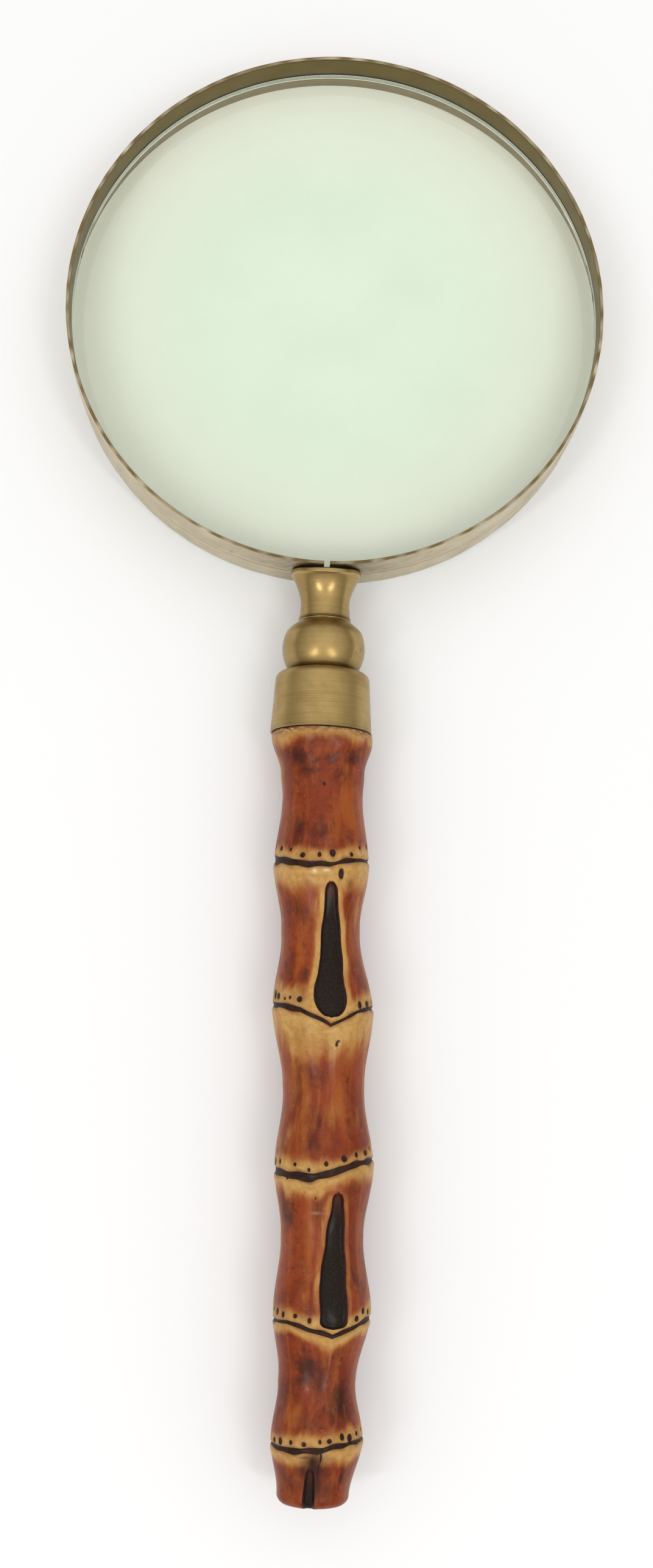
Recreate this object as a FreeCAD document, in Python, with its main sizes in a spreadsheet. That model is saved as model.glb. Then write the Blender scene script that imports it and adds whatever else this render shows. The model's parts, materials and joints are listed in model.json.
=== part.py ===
"""Hand magnifier: a biconvex lens in a split brass band, on a turned brass neck, knop
and ferrule, with a bamboo root handle that unscrews from the head.

Units are millimetres. Every piece is drawn about the centre of the lens: the lens axis
is Z and the handle runs towards -Y, so a station is a distance down the handle from
that centre. One placement then lays the whole object down on Z = 0, where it stands on
the far edge of the band and on the foot of the ferrule.
"""
import FreeCAD, Part
import math
import os
import Sketcher

DIMENSIONS = {
    # Split band: a rolled strip with a crease along its middle that seats the lens.
    "band_outer_r": 52.0,
    "band_half_width": 6.95,
    "strip_thick": 0.65,
    "crease_height": 0.15,
    "crease_half_width": 1.5,
    "crease_slope": 0.4,
    "split_half_gap": 0.55,
    # Lens: both faces the same sphere, with a cylindrical ground edge in the crease.
    "lens_r": 51.45,
    "lens_half_edge": 1.45,
    "lens_face_r": 290.0,
    # Neck: a trumpet whose flange is dressed to a saddle under the band.
    "saddle_r": 26.0,
    "saddle_station": 52.6,
    "flange_r": 6.7,
    "flange_thick": 0.8,
    "flange_half_span": 7.5,
    "flare_r": 6.35,
    "flare_station": 52.4,
    "flare_curve_r": 8.1,
    "waist_r": 4.65,
    "waist_station": 58.2,
    "foot_curve_r": 15.3,
    "neck_foot_r": 5.0,
    "neck_foot_station": 61.45,
    # Screw joint: an M6 stud fixed in the neck, its thread as a plain cylinder.
    "stud_r": 3.0,
    "stud_chamfer": 0.5,
    "stud_top_station": 54.1,
    "stud_end_station": 81.4,
    "fixed_thread_r": 3.02,
    "neck_hole_station": 53.9,
    "running_thread_r": 3.06,
    "through_hole_r": 3.08,
    "clamp_gap": 0.02,
    # Ball knop: a sphere with two flats.
    "ball_r": 7.85,
    "ball_station": 66.9,
    "ball_foot_station": 71.5,
    # Ferrule: a turned cup, wider towards the handle.
    "ferrule_top_r": 8.95,
    "ferrule_corner_r": 1.3,
    "ferrule_foot_r": 9.6,
    "ferrule_foot_station": 83.4,
    "ferrule_bore_r": 8.1,
    "ferrule_roof": 1.5,
    # Threaded insert pressed into the end of the cane.
    "insert_r": 4.6,
    "insert_length": 11.0,
    "insert_seat_r": 4.62,
    "seat_clearance": 0.3,
    # Cane: a tenon in the ferrule, then bulging nodes and narrow lengths between them.
    "tenon_r": 8.05,
    "roof_clearance": 0.05,
    "shoulder_clearance": 0.02,
    "cane_end_round": 2.0,
}

# Cane sections: station, radius, and how far the bent cane stands off the axis.
CANE_SECTIONS = (
    ("shoulder", 83.42, 9.44, 0.15),
    ("collar", 86.0, 9.25, 0.4),
    ("collar_foot", 90.5, 7.9, 0.55),
    ("length_1", 95.5, 7.56, 0.7),
    ("rise_1", 102.0, 8.25, 0.85),
    ("node_1", 108.6, 8.95, 0.95),
    ("fall_1", 115.0, 8.1, 1.05),
    ("length_2", 121.5, 7.25, 1.25),
    ("rise_2", 128.5, 8.25, 1.6),
    ("node_2", 135.5, 9.2, 2.05),
    ("fall_2", 142.0, 8.35, 2.35),
    ("length_3", 149.4, 7.48, 2.6),
    ("rise_3", 156.5, 8.25, 2.9),
    ("node_3", 163.5, 9.1, 3.2),
    ("fall_3", 169.7, 8.3, 3.25),
    ("length_4", 176.2, 7.49, 3.3),
    ("rise_4", 182.6, 8.1, 3.5),
    ("node_4", 188.9, 8.78, 3.7),
    ("fall_4", 194.8, 7.85, 3.4),
    ("length_5", 201.0, 6.96, 3.1),
    ("rise_5", 206.0, 7.6, 3.25),
    ("node_5", 211.0, 8.22, 3.4),
    ("taper", 216.6, 7.15, 3.1),
    ("tip", 222.3, 6.15, 2.9),
)

SIZES = dict(DIMENSIONS)
for section, station, radius, offset in CANE_SECTIONS:
    SIZES[section + "_station"] = station
    SIZES[section + "_radius"] = radius
    SIZES[section + "_offset"] = offset

doc = FreeCAD.newDocument("Magnifier")
sheet = doc.addObject("Spreadsheet::Sheet", "Sizes")
for row, (alias, size) in enumerate(SIZES.items(), start=1):
    sheet.set(f"A{row}", alias)
    sheet.set(f"B{row}", str(size))
    sheet.setAlias(f"B{row}", alias)
doc.recompute()


def amount(total):
    """Value of a sum of cells, such as "band_outer_r - strip_thick"."""
    value = 0.0
    sign = 1.0
    for word in total.split():
        if word in ("+", "-"):
            sign = 1.0 if word == "+" else -1.0
        else:
            value += sign * SIZES[word]
    return value


def formula(total):
    """The same sum as an expression on the sheet."""
    return " ".join(f"Sizes.{word}" if word in SIZES else word for word in total.split())


def new_body(name):
    body = doc.addObject("PartDesign::Body", name)
    body.Label = name
    return body


def new_sketch(body, name, plane="XY_Plane", height=None):
    """A sketch on one of the body's origin planes, or at a height along its normal."""
    sketch = body.newObject("Sketcher::SketchObject", name)
    support = [item for item in body.Origin.OriginFeatures if item.Role == plane][0]
    sketch.AttachmentSupport = [(support, "")]
    sketch.MapMode = "FlatFace"
    if height:
        sketch.setExpression("AttachmentOffset.Base.z", formula(height))
    return sketch


def pin_point(sketch, geometry, end, across, along):
    """Hold one end of a line or arc at a place given by two sums of cells."""
    for kind, total, axis in (("DistanceX", across, -2), ("DistanceY", along, -1)):
        if total == "0":
            sketch.addConstraint(Sketcher.Constraint("PointOnObject", geometry, end, axis))
            continue
        rule = Sketcher.Constraint(kind, -1, 1, geometry, end, amount(total))
        sketch.setExpression(f"Constraints[{sketch.addConstraint(rule)}]", formula(total))


def coordinate(total):
    return 0.0 if total == "0" else amount(total)


def arc_between(start, end, radius, turn):
    """Arc of the given radius from start to end, turning left (1) or right (-1)."""
    chord = end - start
    middle = (start + end) / 2
    left = FreeCAD.Vector(-chord.y, chord.x, 0).normalize()
    half = chord.Length / 2
    centre = middle + left * turn * math.sqrt(radius ** 2 - half ** 2)
    through = centre + (middle - centre).normalize() * radius
    return Part.Arc(start, through, end), turn


def add_outline(sketch, corners):
    """A closed outline through corners (across, along), each an expression in cells.

    A corner may add a radius and a turn: the edge that reaches it is then an arc.
    """
    count = len(corners)
    places = [FreeCAD.Vector(coordinate(c[0]), coordinate(c[1]), 0) for c in corners]
    ends = []
    for index in range(count):
        corner = corners[(index + 1) % count]
        start = places[index]
        end = places[(index + 1) % count]
        if len(corner) == 2:
            edge = sketch.addGeometry(Part.LineSegment(start, end))
            ends.append((edge, 1, 2))
            continue
        arc, turn = arc_between(start, end, amount(corner[2]), corner[3])
        edge = sketch.addGeometry(arc)
        ends.append((edge, 1, 2) if turn > 0 else (edge, 2, 1))
        rule = Sketcher.Constraint("Radius", edge, amount(corner[2]))
        sketch.setExpression(f"Constraints[{sketch.addConstraint(rule)}]", formula(corner[2]))
    for index in range(count):
        edge, first, last = ends[index]
        following, following_first, following_last = ends[(index + 1) % count]
        meeting = Sketcher.Constraint("Coincident", edge, last, following, following_first)
        sketch.addConstraint(meeting)
        pin_point(sketch, edge, first, *corners[index][:2])


def turned(body, name, corners, kind="PartDesign::Revolution", plane="XY_Plane"):
    """Add or cut a solid of revolution about the sketch's vertical axis."""
    sketch = new_sketch(body, name + "_outline", plane)
    add_outline(sketch, corners)
    feature = body.newObject(kind, name)
    feature.Profile = sketch
    feature.ReferenceAxis = (sketch, ["V_Axis"])
    feature.Angle = 360
    return feature


def make_rim_band():
    body = new_body("rim_band")
    inner = "band_outer_r - strip_thick"
    slope_end = "crease_half_width + crease_slope"
    low_slope_end = "- crease_half_width - crease_slope"
    strip = turned(body, "strip", [
        (inner, "- band_half_width"),
        ("band_outer_r", "- band_half_width"),
        ("band_outer_r", low_slope_end),
        ("band_outer_r + crease_height", "- crease_half_width"),
        ("band_outer_r + crease_height", "crease_half_width"),
        ("band_outer_r", slope_end),
        ("band_outer_r", "band_half_width"),
        (inner, "band_half_width"),
        (inner, slope_end),
        (inner + " + crease_height", "crease_half_width"),
        (inner + " + crease_height", "- crease_half_width"),
        (inner, low_slope_end),
    ], plane="YZ_Plane")
    strip.Midplane = True
    opening = "2 * asin(Sizes.split_half_gap / Sizes.band_outer_r)"
    strip.setExpression("Angle", "360 deg - " + opening)
    return body


def primitive(kind, name, sizes, base=None, direction=None):
    """A Part primitive with its sizes, and its base point, bound to the sheet."""
    item = doc.addObject(kind, name)
    for size, expression in sizes.items():
        item.setExpression(size, expression)
    if direction:
        turn = FreeCAD.Rotation(FreeCAD.Vector(0, 0, 1), FreeCAD.Vector(*direction))
        item.Placement = FreeCAD.Placement(FreeCAD.Vector(), turn)
    for axis, expression in (base or {}).items():
        item.setExpression(f"Placement.Base.{axis}", expression)
    return item


def combined(kind, name, base, tool):
    item = doc.addObject(kind, name)
    item.Base = base
    item.Tool = tool
    item.Label = name
    return item


def make_lens():
    rise = "sqrt(Sizes.lens_face_r ^ 2 - Sizes.lens_r ^ 2) - Sizes.lens_half_edge"
    faces = []
    for name, sign in (("front_face", "-1"), ("back_face", "1")):
        sizes = {"Radius": "Sizes.lens_face_r"}
        faces.append(primitive("Part::Sphere", name, sizes, {"z": f"{sign} * ({rise})"}))
    sizes = {"Radius": "Sizes.lens_r", "Height": "2 * Sizes.lens_face_r"}
    edge = primitive("Part::Cylinder", "ground_edge", sizes, {"z": "-Sizes.lens_face_r"})
    lens = doc.addObject("Part::MultiCommon", "lens")
    lens.Shapes = faces + [edge]
    lens.Label = "lens"
    return lens


def make_neck():
    body = new_body("neck_collar")
    plate = new_sketch(body, "flange_outline")
    top = -amount("saddle_station")
    centre = FreeCAD.Vector(0, top + amount("saddle_r"), 0)
    half_span = amount("flange_half_span")
    rims = []
    for radius in ("saddle_r", "saddle_r + flange_thick"):
        reach = math.sqrt(amount(radius) ** 2 - half_span ** 2)
        left = FreeCAD.Vector(-half_span, centre.y - reach, 0)
        right = FreeCAD.Vector(half_span, centre.y - reach, 0)
        middle = FreeCAD.Vector(0, centre.y - amount(radius), 0)
        rims.append(plate.addGeometry(Part.Arc(left, middle, right)))
        rule = Sketcher.Constraint("Radius", rims[-1], amount(radius))
        plate.setExpression(f"Constraints[{plate.addConstraint(rule)}]", formula(radius))
        place = amount("saddle_r - saddle_station")
        rule = Sketcher.Constraint("DistanceY", -1, 1, rims[-1], 3, place)
        number = plate.addConstraint(rule)
        plate.setExpression(f"Constraints[{number}]", formula("saddle_r - saddle_station"))
        plate.addConstraint(Sketcher.Constraint("PointOnObject", rims[-1], 3, -2))
        for end, side in ((1, "- flange_half_span"), (2, "flange_half_span")):
            rule = Sketcher.Constraint("DistanceX", -1, 1, rims[-1], end, amount(side))
            plate.setExpression(f"Constraints[{plate.addConstraint(rule)}]", formula(side))
    for end in (1, 2):
        line = Part.LineSegment(plate.getPoint(rims[0], end), plate.getPoint(rims[1], end))
        side = plate.addGeometry(line)
        plate.addConstraint(Sketcher.Constraint("Coincident", side, 1, rims[0], end))
        plate.addConstraint(Sketcher.Constraint("Coincident", side, 2, rims[1], end))
    flange = body.newObject("PartDesign::Pad", "flange")
    flange.Profile = plate
    flange.Midplane = True
    flange.setExpression("Length", "2 * Sizes.flange_half_span")
    turned(body, "flange_edge", [
        ("flange_r", "- flare_station + flange_half_span"),
        ("flange_r", "- waist_station"),
        ("flange_r + flange_half_span", "- waist_station"),
        ("flange_r + flange_half_span", "- flare_station + flange_half_span"),
    ], kind="PartDesign::Groove")
    turned(body, "trumpet", [
        ("0", "- flare_station"),
        ("0", "- neck_foot_station"),
        ("neck_foot_r", "- neck_foot_station"),
        ("waist_r", "- waist_station", "foot_curve_r", 1),
        ("flare_r", "- flare_station", "flare_curve_r", 1),
    ])
    relief = new_sketch(body, "saddle_outline")
    circle = Part.Circle(centre, FreeCAD.Vector(0, 0, 1), amount("saddle_r"))
    ring = relief.addGeometry(circle)
    rule = Sketcher.Constraint("Radius", ring, amount("saddle_r"))
    relief.setExpression(f"Constraints[{relief.addConstraint(rule)}]", formula("saddle_r"))
    pin_point(relief, ring, 3, "0", "saddle_r - saddle_station")
    saddle = body.newObject("PartDesign::Pocket", "saddle")
    saddle.Profile = relief
    saddle.Type = "ThroughAll"
    saddle.Midplane = True
    turned(body, "stud_hole", [
        ("0", "- neck_hole_station"),
        ("0", "- neck_foot_station"),
        ("fixed_thread_r", "- neck_foot_station"),
        ("fixed_thread_r", "- neck_hole_station"),
    ], kind="PartDesign::Groove")
    return body


def make_solder():
    """Solder between the band and the saddle, set back inside the edge of the flange."""
    length = "2 * Sizes.flange_half_span"
    plug = primitive("Part::Cylinder", "solder_plug",
                     {"Radius": "Sizes.flare_r - Sizes.flange_thick", "Height": length},
                     {"y": "-Sizes.band_outer_r - Sizes.flange_thick"}, (0, 1, 0))
    low = {"z": "-Sizes.flange_half_span"}
    hollow = primitive("Part::Cylinder", "saddle_hollow",
                       {"Radius": "Sizes.saddle_r", "Height": length},
                       {"y": "Sizes.saddle_r - Sizes.saddle_station", **low})
    band = primitive("Part::Cylinder", "band_outside",
                     {"Radius": "Sizes.band_outer_r + Sizes.crease_height", "Height": length}, low)
    bed = combined("Part::Common", "solder_bed", plug, hollow)
    return combined("Part::Cut", "rim_solder", bed, band)


def make_stud():
    body = new_body("handle_stud")
    turned(body, "rod", [
        ("0", "- stud_top_station"),
        ("0", "- stud_end_station"),
        ("stud_r - stud_chamfer", "- stud_end_station"),
        ("stud_r", "- stud_end_station + stud_chamfer"),
        ("stud_r", "- stud_top_station - stud_chamfer"),
        ("stud_r - stud_chamfer", "- stud_top_station"),
    ])
    return body


def make_ball():
    drop = "Sizes.ball_station - Sizes.neck_foot_station - Sizes.clamp_gap"
    rise = "Sizes.ball_foot_station - Sizes.ball_station"
    sizes = {
        "Radius": "Sizes.ball_r",
        "Angle1": f"-asin(({rise}) / Sizes.ball_r)",
        "Angle2": f"asin(({drop}) / Sizes.ball_r)",
    }
    ball = primitive("Part::Sphere", "ball", sizes, {"y": "-Sizes.ball_station"}, (0, 1, 0))
    sizes = {"Radius": "Sizes.through_hole_r", "Height": "4 * Sizes.ball_r"}
    base = {"y": "-Sizes.ball_station - 2 * Sizes.ball_r"}
    hole = primitive("Part::Cylinder", "ball_hole", sizes, base, (0, 1, 0))
    return combined("Part::Cut", "ball_knop", ball, hole)


def make_ferrule():
    body = new_body("ferrule")
    top = "- ball_foot_station - clamp_gap"
    turned(body, "cup", [
        ("through_hole_r", top + " - ferrule_roof"),
        ("ferrule_bore_r", top + " - ferrule_roof"),
        ("ferrule_bore_r", "- ferrule_foot_station"),
        ("ferrule_foot_r", "- ferrule_foot_station"),
        ("ferrule_top_r", top + " - ferrule_corner_r"),
        ("ferrule_top_r - ferrule_corner_r", top, "ferrule_corner_r", 1),
        ("through_hole_r", top),
    ])
    return body


def make_insert():
    tenon_top = "- ball_foot_station - clamp_gap - ferrule_roof - roof_clearance"
    body = new_body("stud_insert")
    turned(body, "bush", [
        ("running_thread_r", tenon_top),
        ("running_thread_r", tenon_top + " - insert_length"),
        ("insert_r", tenon_top + " - insert_length"),
        ("insert_r", tenon_top),
    ])
    return body


def make_cane():
    tenon_top = "- ball_foot_station - clamp_gap - ferrule_roof - roof_clearance"
    body = new_body("bamboo_handle")
    sections = []
    for name in [section[0] for section in CANE_SECTIONS]:
        sketch = new_sketch(body, name + "_section", "XZ_Plane", name + "_station")
        centre = FreeCAD.Vector(amount(name + "_offset"), 0, 0)
        circle = Part.Circle(centre, FreeCAD.Vector(0, 0, 1), amount(name + "_radius"))
        ring = sketch.addGeometry(circle)
        rule = Sketcher.Constraint("Radius", ring, amount(name + "_radius"))
        number = sketch.addConstraint(rule)
        sketch.setExpression(f"Constraints[{number}]", formula(name + "_radius"))
        pin_point(sketch, ring, 3, name + "_offset", "0")
        sections.append(sketch)
    cane = body.newObject("PartDesign::AdditiveLoft", "cane")
    cane.Profile = sections[0]
    cane.Sections = sections[1:]
    doc.recompute()
    end_edge = min(range(len(cane.Shape.Edges)),
                   key=lambda number: cane.Shape.Edges[number].CenterOfMass.y)
    rounding = body.newObject("PartDesign::Fillet", "rounded_end")
    rounding.Base = (cane, [f"Edge{end_edge + 1}"])
    rounding.setExpression("Radius", "Sizes.cane_end_round")
    turned(body, "tenon", [
        ("0", tenon_top),
        ("0", "- shoulder_station - shoulder_clearance"),
        ("tenon_r", "- shoulder_station - shoulder_clearance"),
        ("tenon_r", tenon_top),
    ])
    turned(body, "insert_seat", [
        ("0", tenon_top),
        ("0", tenon_top + " - insert_length - seat_clearance"),
        ("insert_seat_r", tenon_top + " - insert_length - seat_clearance"),
        ("insert_seat_r", tenon_top),
    ], kind="PartDesign::Groove")
    return body


def rest_placement():
    """Lay the object down so the band's far edge and the ferrule's foot reach Z = 0."""
    drop = amount("ferrule_foot_r - band_half_width")
    run = amount("band_outer_r + ferrule_foot_station")
    tilt = -math.atan(drop / run)
    turn = FreeCAD.Rotation(FreeCAD.Vector(1, 0, 0), math.degrees(tilt))
    far_edge = turn.multVec(FreeCAD.Vector(0, amount("band_outer_r"), -amount("band_half_width")))
    far_top = turn.multVec(FreeCAD.Vector(0, amount("band_outer_r"), amount("band_half_width")))
    tip = turn.multVec(FreeCAD.Vector(0, -amount("tip_station"), 0))
    middle = (far_top.y + tip.y) / 2
    return FreeCAD.Placement(FreeCAD.Vector(0, -middle, -far_edge.z), turn)


parts = [
    make_lens(),
    make_rim_band(),
    make_solder(),
    make_neck(),
    make_stud(),
    make_ball(),
    make_ferrule(),
    make_insert(),
    make_cane(),
]
doc.recompute()
resting = rest_placement()
for part in parts:
    part.Placement = resting
doc.recompute()

for item in doc.Objects:
    if "Invalid" in item.State or "Error" in item.State:
        raise RuntimeError(f"{item.Name} failed: {item.State}")
os.makedirs("parts", exist_ok=True)
for part in parts:
    if part.Shape.isNull() or not part.Shape.isValid():
        raise RuntimeError(f"{part.Label} has no valid shape")
for part in parts:
    part.Shape.exportStep(f"parts/{part.Label}.step")
    print(f"{part.Label:14s} {part.Shape.Volume:10.1f} mm3  {part.Shape.BoundBox}")
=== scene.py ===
"""Hand magnifier: the looks. Lengths are in millimetres until a mesh is made, and then metres.

Every piece is drawn about the centre of the lens, as the CAD is: the lens axis is Z, the
handle runs towards -Y, and a station is a distance down the handle from that centre.
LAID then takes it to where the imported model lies.
"""
import json
import math

import bmesh
import bpy
import numpy as np
from mathutils import Matrix, Vector


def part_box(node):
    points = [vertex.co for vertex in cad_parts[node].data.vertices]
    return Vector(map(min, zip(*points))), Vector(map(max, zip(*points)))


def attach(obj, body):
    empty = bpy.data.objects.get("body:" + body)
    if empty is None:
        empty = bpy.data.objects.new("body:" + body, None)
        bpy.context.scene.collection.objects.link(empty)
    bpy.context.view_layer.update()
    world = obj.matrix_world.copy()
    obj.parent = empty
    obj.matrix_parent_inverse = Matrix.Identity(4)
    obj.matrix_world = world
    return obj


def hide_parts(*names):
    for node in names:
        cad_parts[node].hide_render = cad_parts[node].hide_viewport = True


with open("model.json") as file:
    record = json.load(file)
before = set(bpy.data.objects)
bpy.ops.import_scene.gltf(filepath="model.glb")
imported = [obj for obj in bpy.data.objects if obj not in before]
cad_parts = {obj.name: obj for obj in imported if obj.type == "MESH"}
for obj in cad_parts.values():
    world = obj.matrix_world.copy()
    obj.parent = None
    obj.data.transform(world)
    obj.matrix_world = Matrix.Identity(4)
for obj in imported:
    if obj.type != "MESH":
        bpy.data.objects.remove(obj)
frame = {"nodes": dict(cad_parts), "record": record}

MM = 0.001
TURN = 2 * math.pi
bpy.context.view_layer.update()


def laid_down():
    """Matrix from the lens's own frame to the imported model's, both in metres."""
    low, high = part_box("lens")
    joints = {joint["name"]: joint for joint in frame["record"]["behaviour"]["joints"]}
    down_handle = Vector(joints["handle_turn"]["axis"])
    across = Vector((1, 0, 0))
    along = -down_handle
    out = across.cross(along)
    turn = Matrix((across, along, out)).transposed()
    return Matrix.Translation((low + high) / 2) @ turn.to_4x4()


LAID = laid_down()


# ---------------------------------------------------------------- camera, floor and light

CAMERA_LENS = 41.9
CAMERA_SENSOR = 36.0
CAMERA_PITCH = math.radians(9.5)
CAMERA_YAW = math.radians(-1.37)
CAMERA_ROLL = math.radians(2.1)
CAMERA_AIM = Vector((-1.6, -91.6, 0)) * MM
CAMERA_DISTANCE = 359.6 * MM
# From here to the end of this list, lengths are in metres.
CAMERA_CLIP = 0.01
FLOOR_HALF = 3.0
FLOOR_COLOUR = (0.96, 0.96, 0.955, 1)
WHITE = (1.0, 1.0, 1.0, 1)
ROOM_AT_HORIZON = 0.25
ROOM_OVERHEAD = 1.2
# The soft boxes: name, and direction from the middle of the object.
SOFT_BOXES = (("left_box", (-0.46, -0.3, 0.84)), ("right_box", (0.37, -0.3, 0.88)))
SOFT_BOX_DISTANCE = 1.0
SOFT_BOX_SIZE = (0.07, 0.34)
SOFT_BOX_POWER = 0.95


def added(name, data):
    """A new object, in the scene."""
    thing = bpy.data.objects.new(name, data)
    bpy.context.scene.collection.objects.link(thing)
    return thing


def add_camera():
    """Looks down on the object from the handle's side."""
    data = bpy.data.cameras.new("camera")
    data.lens = CAMERA_LENS
    data.sensor_width = CAMERA_SENSOR
    data.clip_start = CAMERA_CLIP
    camera = added("camera", data)
    turned = (Matrix.Rotation(CAMERA_PITCH, 4, "X") @ Matrix.Rotation(CAMERA_YAW, 4, "Y")
              @ Matrix.Rotation(CAMERA_ROLL, 4, "Z"))
    back = Matrix.Translation(Vector((CAMERA_AIM.x, CAMERA_AIM.y, CAMERA_DISTANCE)))
    camera.matrix_world = LAID @ turned @ back
    bpy.context.scene.camera = camera


def add_floor():
    """A plain sheet of pale paper under the object."""
    half = FLOOR_HALF
    mesh = bpy.data.meshes.new("floor")
    corners = [(-half, -half, 0), (half, -half, 0), (half, half, 0), (-half, half, 0)]
    mesh.from_pydata(corners, [], [(0, 1, 2, 3)])
    floor = added("floor", mesh)
    paint = new_material("floor_paper")
    surface = paint.node_tree.nodes["Principled BSDF"]
    surface.inputs["Base Color"].default_value = FLOOR_COLOUR
    surface.inputs["Roughness"].default_value = 0.9
    surface.inputs["Specular IOR Level"].default_value = 0.1
    mesh.materials.append(paint)


def add_soft_box(name, direction):
    """An area light that faces the middle of the object from one direction."""
    data = bpy.data.lights.new(name, "AREA")
    data.shape = "RECTANGLE"
    data.size, data.size_y = SOFT_BOX_SIZE
    data.energy = SOFT_BOX_POWER
    lamp = added(name, data)
    toward = Vector(direction).normalized()
    lamp.location = toward * SOFT_BOX_DISTANCE
    lamp.rotation_euler = toward.to_track_quat("Z", "Y").to_euler()


def add_light():
    """A soft white room, brighter overhead, and two tall soft boxes."""
    world = bpy.data.worlds.new("studio")
    bpy.context.scene.world = world
    world.use_nodes = True
    nodes, links = world.node_tree.nodes, world.node_tree.links
    split = nodes.new("ShaderNodeSeparateXYZ")
    links.new(nodes.new("ShaderNodeTexCoord").outputs["Generated"], split.inputs[0])
    height = nodes.new("ShaderNodeMapRange")
    links.new(split.outputs["Z"], height.inputs["Value"])
    height.inputs["To Min"].default_value = ROOM_AT_HORIZON
    height.inputs["To Max"].default_value = ROOM_OVERHEAD
    background = nodes["Background"]
    background.inputs["Color"].default_value = WHITE
    links.new(height.outputs[0], background.inputs["Strength"])
    for name, direction in SOFT_BOXES:
        add_soft_box(name, direction)
    bpy.context.scene.view_settings.view_transform = "Standard"


# ---------------------------------------------------------------- materials

def new_material(name):
    """A material with Blender's own starting nodes."""
    material = bpy.data.materials.new(name)
    material.use_nodes = True
    return material


class Shader:
    """A short way to add and join a material's nodes."""

    def __init__(self, name):
        self.material = new_material(name)
        self.tree = self.material.node_tree
        self.surface = self.tree.nodes["Principled BSDF"]
        self.place = self.tree.nodes.new("ShaderNodeTexCoord").outputs["Object"]

    def set(self, **values):
        """Set the surface's own sockets, with _ for a space in their names."""
        for name, value in values.items():
            self.surface.inputs[name.replace("_", " ")].default_value = value

    def link(self, source, socket):
        self.tree.links.new(source, socket)

    def feed(self, name, source):
        """Join a node to one of the surface's sockets."""
        self.link(source, self.surface.inputs[name])

    def node(self, kind, inputs=None, **settings):
        """A new node; an input is a number, a colour or another node's output."""
        node = self.tree.nodes.new(kind)
        for name, value in settings.items():
            setattr(node, name, value)
        for name, value in (inputs or {}).items():
            if isinstance(value, bpy.types.NodeSocket):
                self.link(value, node.inputs[name])
            else:
                node.inputs[name].default_value = value
        return node

    def noise(self, scale, stretch=(1, 1, 1), detail=4.0, rough=0.55, warp=0.0):
        """Noise whose lumps are about 1 / scale of a metre."""
        place = self.node("ShaderNodeMapping", {"Vector": self.place, "Scale": stretch})
        inputs = {"Vector": place.outputs["Vector"], "Scale": scale, "Detail": detail,
                  "Roughness": rough, "Distortion": warp}
        return self.node("ShaderNodeTexNoise", inputs).outputs["Fac"]

    def attribute(self, name):
        return self.node("ShaderNodeAttribute", attribute_name=name).outputs["Fac"]

    def ramp(self, value, low, high):
        """0 below low, 1 above high, smooth between."""
        inputs = {"Value": value, "From Min": low, "From Max": high}
        return self.node("ShaderNodeMapRange", inputs, interpolation_type="SMOOTHSTEP").outputs[0]

    def spread(self, value, low, high, least, most):
        """least where value is low, most where it is high, straight between."""
        inputs = {"Value": value, "From Min": low, "From Max": high,
                  "To Min": least, "To Max": most}
        return self.node("ShaderNodeMapRange", inputs).outputs[0]

    def math(self, operation, a, b=0.0):
        return self.node("ShaderNodeMath", {0: a, 1: b}, operation=operation).outputs[0]

    def sway(self, value, amount, middle=0.5):
        """How far value is from its middle, times amount."""
        return self.math("MULTIPLY", self.math("SUBTRACT", value, middle), amount)

    def mix(self, share, a, b):
        """a where share is 0, b where it is 1; sockets 0, 6 and 7 are the colour mix's."""
        return self.node("ShaderNodeMix", {0: share, 6: a, 7: b}, data_type="RGBA").outputs[2]

    def patches(self, under, over, value, low, high, most):
        """under where value is low, and most of the way to over where it is high."""
        return self.mix(self.math("MULTIPLY", self.ramp(value, low, high), most), under, over)

    def bump(self, height, distance, strength=1.0, under=None):
        inputs = {"Height": height, "Distance": distance, "Strength": strength}
        if under is not None:
            inputs["Normal"] = under
        return self.node("ShaderNodeBump", inputs).outputs["Normal"]


def rgb(red, green, blue):
    """Linear colour from the 0 to 255 values that a colour picker shows."""
    def linear(value):
        value /= 255
        return value / 12.92 if value <= 0.04045 else ((value + 0.055) / 1.055) ** 2.4
    return (linear(red), linear(green), linear(blue), 1.0)


def brass(name, base, pale_tone, dull, lines_along, roughness):
    """Aged satin brass, with fine turned or rolled lines across the axis lines_along."""
    s = Shader(name)
    s.set(Metallic=1.0)
    stretch = [0.02, 0.02, 0.02]
    stretch["XYZ".index(lines_along)] = 1.0
    lines = s.noise(7000, stretch, detail=3, rough=0.75)
    broad = s.noise(1500, stretch, detail=2)
    tarnish = s.noise(190, detail=6, rough=0.6, warp=0.5)
    specks = s.noise(3200, detail=2, rough=0.6)
    spots = s.noise(420, detail=3, rough=0.6)
    tone = s.patches(base, dull, tarnish, 0.35, 0.7, 0.55)
    tone = s.patches(tone, dull, broad, 0.35, 0.7, 0.3)
    tone = s.patches(tone, pale_tone, lines, 0.5, 0.8, 0.28)
    tone = s.patches(tone, rgb(92, 72, 40), specks, 0.7, 0.82, 0.4)
    tone = s.patches(tone, rgb(84, 74, 52), spots, 0.7, 0.76, 0.35)
    # The pale wear colour is real wear and also a painted highlight on the ball's bead; the dark
    # grime colour is real dirt and also painted shade in creases, hollows, joints and thread
    # roots.
    for mark, shade in (("wear", pale_tone), ("inside", rgb(132, 114, 74)),
                        ("edge", rgb(122, 102, 68)), ("grime", rgb(62, 46, 26))):
        tone = s.mix(s.attribute(mark), tone, shade)
    s.feed("Base Color", tone)
    s.feed("Roughness", s.spread(tarnish, 0.3, 0.7, roughness - 0.05, roughness + 0.08))
    under = s.bump(broad, 0.000018, 0.5)
    fine = s.bump(lines, 0.000006, 0.7, under)
    s.feed("Normal", s.bump(specks, 0.000006, 0.35, fine))
    return s.material


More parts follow.
